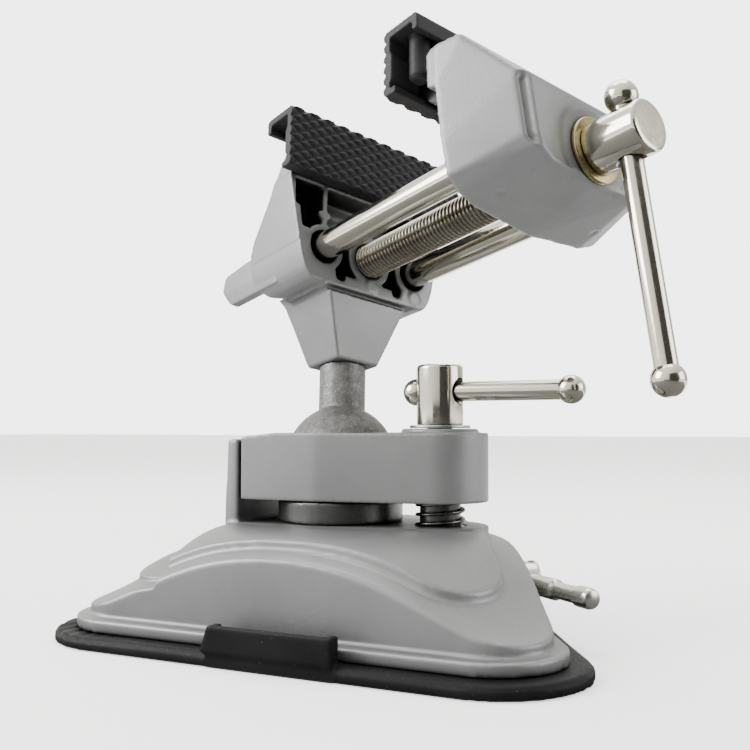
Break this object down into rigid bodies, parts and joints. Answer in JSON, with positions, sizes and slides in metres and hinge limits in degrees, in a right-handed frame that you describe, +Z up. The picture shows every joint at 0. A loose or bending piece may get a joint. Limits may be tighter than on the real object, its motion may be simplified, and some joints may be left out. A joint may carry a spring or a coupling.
{
  "type": "suction base vise",
  "caption": "Small bench vise with a ball-mounted tilting head, guide rods, tommy-bar screws and a three-cornered suction base with a lever.",
  "frame": {"origin": "centre of the suction pad's flat underside", "axes": "+Z up, +X to the right along the long front side, +Y to the back corner"},
  "size_m": [0.18, 0.1462, 0.1697],
  "materials": {
    "rubber": "satin",
    "steel": "satin",
    "bright": "bright nickel",
    "casting": "satin silver-grey",
    "bare_casting": "rough",
    "spring_steel": "dark",
    "zinc": "yellow zinc plate"
  },
  "bodies": {
    "base": {"suction_pad": "rubber", "pad_screws": "steel", "base_housing": "casting", "clamp_spring": "spring_steel"},
    "plunger": {"plunger": "steel", "plunger_washer": "steel"},
    "lever": {"cam_shaft": "steel", "lever": "bright", "lever_pin": "steel", "shaft_clip": "steel"},
    "seat": {"ball_seat": "steel"},
    "stem": {"ball_stem": "bare_casting", "stem_screw": "steel"},
    "plate": {"clamp_plate": "casting"},
    "clamp_washer": {"clamp_washer": "steel"},
    "clamp_screw": {"clamp_screw": "bright"},
    "clamp_bar": {"clamp_bar": "bright", "clamp_bar_balls": "bright"},
    "rear": {"rear_jaw": "casting", "rear_jaw_pad": "rubber", "jaw_pad_pins": "steel"},
    "front": {"front_jaw": "casting", "front_jaw_pad": "rubber", "front_pad_pins": "steel", "guide_rods": "bright", "rod_pins": "steel", "screw_washer": "zinc"},
    "lead": {"lead_screw": "bright", "screw_clip": "steel"},
    "main_bar": {"main_bar": "bright", "main_bar_balls": "bright"}
  },
  "joints": [
    {"name": "lever_swing", "type": "hinge", "parent": "base", "child": "lever", "pos_m": [0, 0, 0.014], "axis": [-0.866, -0.5, 0], "range_deg": [0, 150]},
    {"name": "plunger_lift", "type": "slide", "parent": "base", "child": "plunger", "axis": [0, 0, 1], "range_m": [0, 0.00232]},
    {"name": "seat_swivel", "type": "hinge", "parent": "base", "child": "seat", "pos_m": [-0.008, 0.006, 0.0504], "axis": [0, 0, 1], "continuous": true},
    {"name": "head_tilt", "type": "hinge", "parent": "seat", "child": "stem", "pos_m": [-0.008, 0.006, 0.0504], "axis": [-0.9147, -0.4041, 0], "range_deg": [-27, 6]},
    {"name": "head_spin", "type": "hinge", "parent": "stem", "child": "rear", "pos_m": [-0.008, 0.006, 0.0504], "axis": [-0.0964, 0.2182, 0.9711], "continuous": true},
    {"name": "jaw_slide", "type": "slide", "parent": "rear", "child": "front", "axis": [-0.8968, 0.4043, -0.1798], "range_m": [-0.0113, 0.0432]},
    {"name": "lead_turn", "type": "hinge", "parent": "front", "child": "lead", "pos_m": [0.07567, -0.02084, 0.12888], "axis": [-0.8968, 0.4043, -0.1798], "continuous": true},
    {"name": "main_bar_slide", "type": "slide", "parent": "lead", "child": "main_bar", "axis": [-0.157, 0.0893, 0.9836], "range_m": [0, 0.0507]},
    {"name": "clamp_lift", "type": "slide", "parent": "base", "child": "clamp_washer", "axis": [0, 0, 1], "range_m": [0, 0.00033], "deforming": ["clamp_spring"]},
    {"name": "clamp_turn", "type": "hinge", "parent": "clamp_washer", "child": "clamp_screw", "pos_m": [0.0252, 0.006, 0.06], "axis": [0, 0, 1], "range_deg": [0, 96]},
    {"name": "plate_tilt", "type": "hinge", "parent": "base", "child": "plate", "pos_m": [-0.0316, 0.006, 0.0504], "axis": [0, -1, 0], "range_deg": [0, 0.336]},
    {"name": "clamp_bar_slide", "type": "slide", "parent": "clamp_screw", "child": "clamp_bar", "axis": [-0.9976, 0.0698, 0], "range_m": [0, 0.005]}
  ],
  "couplings": [
    {"joint": "lever_swing", "follows": "plunger_lift", "rad_per_m": 1123.6},
    {"joint": "lead_turn", "follows": "jaw_slide", "rad_per_m": 4188.8},
    {"joint": "clamp_turn", "follows": "clamp_lift", "rad_per_m": 5026.5},
    {"joint": "plate_tilt", "follows": "clamp_lift", "rad_per_m": 17.606}
  ]
}
